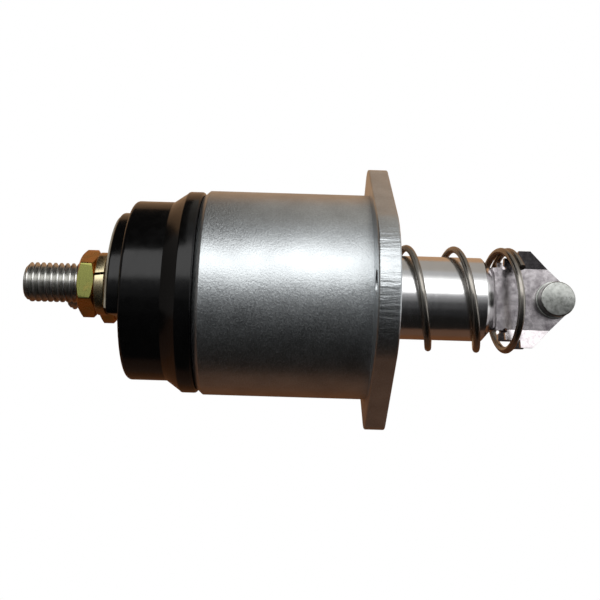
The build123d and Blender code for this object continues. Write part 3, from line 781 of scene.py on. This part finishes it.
def turnedMetal(name, base, shade, roughness, line, depth):
    # cut on a lathe or drawn through a die: lines round the X axis, drawn coarse enough to show,
    # and a few stains
    material, tree, shader, place = startMaterial(name, Metallic=1.0)
    squeezed = addNode(tree, "ShaderNodeMapping", {"Vector": place, "Scale": (1.0, 0.04, 0.04)})
    lines = addNode(tree, "ShaderNodeTexNoise",
                    {"Vector": squeezed.outputs[0], "Scale": grainSize(line), "Detail": 3.0})
    stains = addNode(tree, "ShaderNodeTexNoise", {"Vector": place, "Scale": grainSize(6), "Detail": 3.0})
    dressShader(tree, shader, stains.outputs[0], lines.outputs[0], (shade, base),
                (roughness * 0.8, roughness * 1.25), 0.4, depth)
    return material


def yellowChromate(name, warm, paintedFacingTint):
    # chromate film over zinc in its warm tone with a random drift, and a painted reflection: faces
    # turned to the front and back are painted in the facing tint
    material, tree, shader, place = startMaterial(name, Metallic=1.0)
    drift = addNode(tree, "ShaderNodeTexNoise", {"Vector": place, "Scale": grainSize(5), "Detail": 3.0})
    normal = addNode(tree, "ShaderNodeTexCoord").outputs["Normal"]
    facing = addNode(tree, "ShaderNodeSeparateXYZ", {0: normal})
    # faces turned to the front and back take the painted facing tint, a painted reflection
    across = addNode(tree, "ShaderNodeMath", {0: facing.outputs["Y"]}, operation="ABSOLUTE")
    both = addNode(tree, "ShaderNodeMath", {0: across.outputs[0], 1: drift.outputs[0]}, operation="ADD")
    share = addNode(tree, "ShaderNodeMapRange", {0: both.outputs[0], 1: 0.95, 2: 1.45})
    fine = addNode(tree, "ShaderNodeTexNoise", {"Vector": place, "Scale": grainSize(0.6), "Detail": 2.0})
    dressShader(tree, shader, share.outputs[0], fine.outputs[0], (warm, paintedFacingTint), (0.24, 0.34),
                0.15, 0.01)
    return material


def mouldedPlastic(name, base, shade, roughness, ripple, depth):
    # moulded in a polished die: an even skin with a faint orange peel, and a low IOR for dim shine
    material, tree, shader, place = startMaterial(name, IOR=1.37)
    peel = addNode(tree, "ShaderNodeTexNoise",
                   {"Vector": place, "Scale": grainSize(ripple), "Detail": 2.0})
    dressShader(tree, shader, peel.outputs[0], peel.outputs[0], (shade, base),
                (roughness * 0.8, roughness * 1.3), 0.3, depth)
    return material


rimMarks = {
    "startX": -6.7, "fullX": -6.2, "highZ": 20, "lowZ": 14, "stretch": 0.12, "ridge": 1.2, "depth": 0.35,
}

# pale cool grey with a fine speckle that breaks up a soft bright band
zincCase = satinZinc("satinZincPlate", "#cdd2d4", "#b0b4b6", 0.36, 0.55, 0.12, spread=0.08)
addShearMarks(zincCase, rimMarks)
# greyish mauve sheet with cloudy stains, nearly a mirror on its flat wings
zincClevis = satinZinc("dullZincPlate", "#cac5c7", "#8f898c", 0.2, 1.6, 0.002, 5.0, 0.03)
# darker and a little greener than the sheet, mottled on the head
zincPin = satinZinc("plainZincPin", "#b0b2ae", "#747672", 0.3, 1.2, 0.002, 3.5, 0.03)
# near black with clean, dim highlights
blackCap = mouldedPlastic("glossBlackPhenolic", "#060606", "#030303", 0.17, 2.5, 0.015)
# matt greyish cream, a thin light line behind the washers
boardPale = mouldedPlastic("paleFibreBoard", "#a49c8b", "#8a8272", 0.5, 0.8, 0.05)
# bright silver crests and dull roots
studSteel = turnedMetal("brightZincThread", "#d6d6d3", "#adaca8", 0.28, 0.5, 0.01)
# bright, with a soft-edged white band and dark below it
plungerSteel = turnedMetal("groundNickelPlate", "#e6e6e6", "#d4d4d4", 0.2, 0.35, 0.002)
# dark grey-brown wire with one narrow highlight
wireSteel = turnedMetal("oiledSpringWire", "#a5a19a", "#7b766f", 0.24, 0.8, 0.006)
# orange-brown hexagon, its flats to the front and back painted darker olive as a painted reflection
nutYellow = yellowChromate("yellowChromateZinc", "#cf9650", "#86884c")
# the same film in a duller tan, with faces turned to the front and back painted pale straw as a painted
# highlight
washerYellow = yellowChromate("tanChromateZincPaintedStraw", "#b0905f", "#c4b896")
# plain grey with turning marks, on parts that are hidden
plainSteel = turnedMetal("turnedSteel", "#a5a5a6", "#8b8b8c", 0.32, 0.5, 0.01)
# soft yellow with faint drawing lines
brass = turnedMetal("drawnBrass", "#d6b56a", "#b89549", 0.25, 0.5, 0.01)
# reddish brown in rings about as wide as a turn of the wire
copper = turnedMetal("enamelledCopper", "#b7683c", "#8e4826", 0.3, 1.1, 0.2)
# milky cream with a soft sheen
nylon = mouldedPlastic("naturalNylon", "#d8d2bf", "#c8c1ab", 0.4, 1.5, 0.02)
# matt black without a clear highlight
rubber = mouldedPlastic("blackRubber", "#171717", "#101010", 0.7, 1.0, 0.05)

finishes = {
    zincCase: [caseShell], blackCap: [terminalCap], boardPale: [terminalInsulator],
    studSteel: studs, nutYellow: nuts, washerYellow: washers, plungerSteel: [plungerBar],
    wireSteel: [returnSpring, contactResetSpring, pinRing, "contact_spring", "contact_clip"],
    zincClevis: [clevisBracket], zincPin: [clevisPin, headWasher, ringWasher],
    plainSteel: ["core_plate", "fixed_core", "contact_rod"],
    brass: ["guide_tube", "coil_terminal"],
    copper: ["pull_in_winding", "hold_in_winding", "switch_lead", "motor_lead", "contact_disc"],
    nylon: ["coil_bobbin", "contact_bush", "contact_washer"], rubber: ["cap_gasket"],
}
for material, members in finishes.items():
    for member in members:
        owner = cadNodes[member] if isinstance(member, str) else member
        owner.data.materials.clear()
        owner.data.materials.append(material)
print("materials assigned")


# Camera, floor and light

view = {
    "place": (-30.3, -308.8, -27.7), "pitch": 11.86, "roll": 1.73, "lens": 54.0, "sensor": 36,
    "shift": -0.1868, "clipStart": 0.01,
}
# the studio is in metres
studio = {
    "floorZ": -0.25, "floorSize": 12, "whiteFrom": 0.35, "whiteTo": 0.7, "shadowShare": 0.88,
    "lampPlace": (-0.03, -0.70, 0.39), "lampSize": (1.5, 0.56), "lampWatts": 3.8,
    "worldStrength": 0.45,
}


def addCamera(settings):
    # looks a little above the part, whose picture the shift brings back to the middle
    lens = bpy.data.cameras.new("camera")
    lens.lens = settings["lens"]
    lens.sensor_width = settings["sensor"]
    lens.shift_y = settings["shift"]
    lens.clip_start = settings["clipStart"]
    camera = bpy.data.objects.new("camera", lens)
    bpy.context.scene.collection.objects.link(camera)
    pitch = Matrix.Rotation(math.radians(90 + settings["pitch"]), 4, "X")
    roll = Matrix.Rotation(math.radians(settings["roll"]), 4, "Z")
    camera.matrix_world = Matrix.Translation(Vector(settings["place"]) * mm) @ pitch @ roll
    bpy.context.scene.camera = camera


def seenDirectly(tree):
    # 1 for camera, glossy and transmission rays
    path = addNode(tree, "ShaderNodeLightPath")
    first = addNode(tree, "ShaderNodeMath",
                    {0: path.outputs["Is Camera Ray"], 1: path.outputs["Is Glossy Ray"]},
                    operation="MAXIMUM")
    return addNode(tree, "ShaderNodeMath", {0: first.outputs[0], 1: path.outputs["Is Transmission Ray"]},
                   operation="MAXIMUM").outputs[0]


def addFloor(settings):
    # paper that shows a faint shadow near the part and is plain white further out
    clearSelection()
    bpy.ops.mesh.primitive_plane_add(size=settings["floorSize"], location=(0, 0, settings["floorZ"]))
    floor = settle(bpy.context.object, "floor")
    material = bpy.data.materials.new("whitePaper")
    tree = emptyTree(material)
    paper = addNode(tree, "ShaderNodeBsdfDiffuse", {"Color": linear("#ffffff")})
    glow = addNode(tree, "ShaderNodeEmission", {"Color": linear("#ffffff"), "Strength": 1.0})
    place = addNode(tree, "ShaderNodeTexCoord").outputs["Object"]
    reach = addNode(tree, "ShaderNodeVectorMath", {0: place}, operation="LENGTH")
    white = addNode(tree, "ShaderNodeMapRange",
                    {0: reach.outputs["Value"], 1: settings["whiteFrom"], 2: settings["whiteTo"],
                     3: settings["shadowShare"], 4: 1.0})
    share = addNode(tree, "ShaderNodeMath", {0: seenDirectly(tree), 1: white.outputs[0]},
                    operation="MULTIPLY")
    mixed = addNode(tree, "ShaderNodeMixShader",
                    {0: share.outputs[0], 1: paper.outputs[0], 2: glow.outputs[0]})
    addNode(tree, "ShaderNodeOutputMaterial", {"Surface": mixed.outputs[0]})
    floor.data.materials.append(material)


def addWorld(settings):
    # white where it is seen or reflected, and dimmer as a light
    world = bpy.data.worlds.new("studio")
    bpy.context.scene.world = world
    tree = emptyTree(world)
    strength = addNode(tree, "ShaderNodeMapRange",
                       {0: seenDirectly(tree), 1: 0.0, 2: 1.0, 3: settings["worldStrength"], 4: 1.0})
    sky = addNode(tree, "ShaderNodeBackground",
                  {"Color": linear("#ffffff"), "Strength": strength.outputs[0]})
    addNode(tree, "ShaderNodeOutputWorld", {"Surface": sky.outputs[0]})


def addLamp(settings):
    light = bpy.data.lights.new("softBox", "AREA")
    light.shape = "RECTANGLE"
    light.size, light.size_y = settings["lampSize"]
    light.energy = settings["lampWatts"]
    lamp = bpy.data.objects.new("softBox", light)
    bpy.context.scene.collection.objects.link(lamp)
    place = Vector(settings["lampPlace"])
    aim = (-place).to_track_quat("-Z", "Y").to_matrix().to_4x4()
    lamp.matrix_world = Matrix.Translation(place) @ aim


# (low, high) X spans of the cards: the whole row, and the parts above the case and above the cap
wholeRow, overCase, overCap = (-0.92, 0.7), (-0.116, 0.7), (-0.92, -0.116)
# each runs from a start to an end (y, z) edge: the front first, then under, behind and over the part
cards = {
    "nearHorizon": {"start": (-0.62, -0.03), "end": (-0.62, 0.088), "x": wholeRow, "colour": "#9d9d9f"},
    "belowHorizon": {"start": (-0.62, -0.15), "end": (-0.62, -0.03), "x": wholeRow, "colour": "#7c7c7d"},
    "frontTable": {"start": (-0.36, -0.235), "end": (-0.62, -0.15), "x": wholeRow, "colour": "#464647"},
    "midTable": {"start": (-0.18, -0.235), "end": (-0.36, -0.235), "x": wholeRow, "colour": "#272728"},
    "darkTable": {"start": (0.03, -0.235), "end": (-0.18, -0.235), "x": wholeRow, "colour": "#191817"},
    "brownTable": {"start": (0.16, -0.20), "end": (0.03, -0.235), "x": wholeRow, "colour": "#63493a"},
    "brownBehind": {"start": (0.75, 0.02), "end": (0.16, -0.20), "x": wholeRow, "colour": "#6b452c"},
    "tanBehind": {"start": (0.32, 0.55), "end": (0.75, 0.02), "x": wholeRow, "colour": "#c49c78"},
    "greyAbove": {"start": (-0.16, 0.57), "end": (0.32, 0.55), "x": overCase, "colour": "#b0aaa2"},
    "softAbove": {"start": (-0.36, 0.55), "end": (-0.16, 0.57), "x": overCase, "colour": "#c0c0c0"},
    "darkAbove": {"start": (-0.50, 0.50), "end": (0.32, 0.55), "x": overCap, "colour": "#343230"},
}
leftCard = {"x": -0.92, "y": (-0.75, 0.75), "z": (-0.24, 0.6), "colour": "#78736f"}


def paintCard(card, colour):
    material = bpy.data.materials.new(card.name)
    tree = emptyTree(material)
    glow = addNode(tree, "ShaderNodeEmission", {"Color": linear(colour), "Strength": 1.0})
    addNode(tree, "ShaderNodeOutputMaterial", {"Surface": glow.outputs[0]})
    card.data.materials.append(material)
    card.visible_camera = False
    card.visible_diffuse = False
    card.visible_shadow = False
    card.visible_transmission = False


def addCard(name, settings):
    # a coloured board along X between two (y, z) edges, which only reflections see
    (startY, startZ), (endY, endZ) = settings["start"], settings["end"]
    lowX, highX = settings["x"]
    clearSelection()
    bpy.ops.mesh.primitive_plane_add(
        size=1, location=((lowX + highX) / 2, (startY + endY) / 2, (startZ + endZ) / 2),
        rotation=(math.atan2(endZ - startZ, endY - startY), 0, 0))
    card = bpy.context.object
    card.scale = (highX - lowX, math.hypot(endY - startY, endZ - startZ), 1)
    settle(card, name)
    paintCard(card, settings["colour"])


def addSideCard(name, settings):
    # an upright board beyond the terminals' end
    (lowY, highY), (lowZ, highZ) = settings["y"], settings["z"]
    clearSelection()
    bpy.ops.mesh.primitive_plane_add(
        size=1, location=(settings["x"], (lowY + highY) / 2, (lowZ + highZ) / 2),
        rotation=(0, math.pi / 2, 0))
    card = bpy.context.object
    card.scale = (highZ - lowZ, highY - lowY, 1)
    settle(card, name)
    paintCard(card, settings["colour"])


addCamera(view)
addFloor(studio)
addWorld(studio)
addLamp(studio)
for name, settings in cards.items():
    addCard(name, settings)
addSideCard("greyLeft", leftCard)
bpy.context.scene.view_settings.view_transform = "Standard"
print("studio made")
